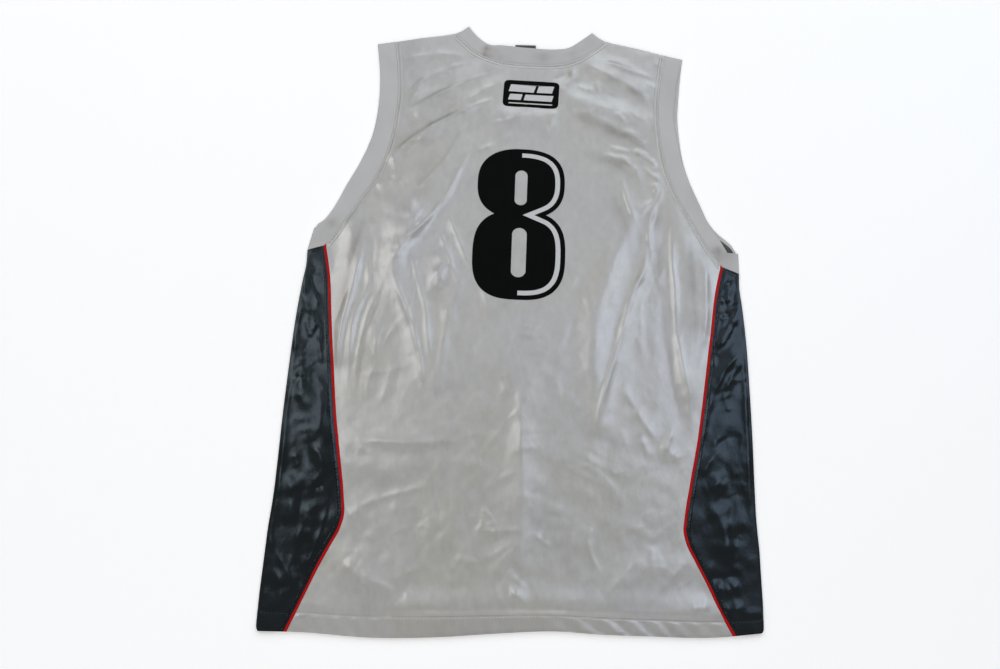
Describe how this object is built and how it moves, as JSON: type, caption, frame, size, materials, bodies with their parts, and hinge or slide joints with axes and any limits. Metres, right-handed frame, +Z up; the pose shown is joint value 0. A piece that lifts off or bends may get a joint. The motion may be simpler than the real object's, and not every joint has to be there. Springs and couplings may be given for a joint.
{
  "type": "basketball jersey",
  "caption": "Sleeveless sports jersey laid flat with its back up: pale satin body, dark side panels, red piping, knit neck and armhole bands.",
  "frame": {"origin": "under the middle of the laid garment's outline, on the surface it lies on", "axes": "+X to the right as the back is seen, +Y from the hem to the neck, +Z up out of the back"},
  "size_m": [0.605, 0.8547, 0.0088],
  "materials": {
    "white_satin": "satin",
    "dark_satin": "satin",
    "knit_band": "matte",
    "red_piping": "matte",
    "grey_label": "matte"
  },
  "bodies": {
    "root": {"back_panel": "white_satin", "front_panel": "white_satin", "side_panel_left": "dark_satin", "side_panel_right": "dark_satin", "neckband": "knit_band", "armhole_band_left": "knit_band", "armhole_band_right": "knit_band", "piping_back_left": "red_piping", "piping_back_right": "red_piping", "piping_front_left": "red_piping", "piping_front_right": "red_piping", "neck_label": "grey_label"}
  },
  "joints": []
}
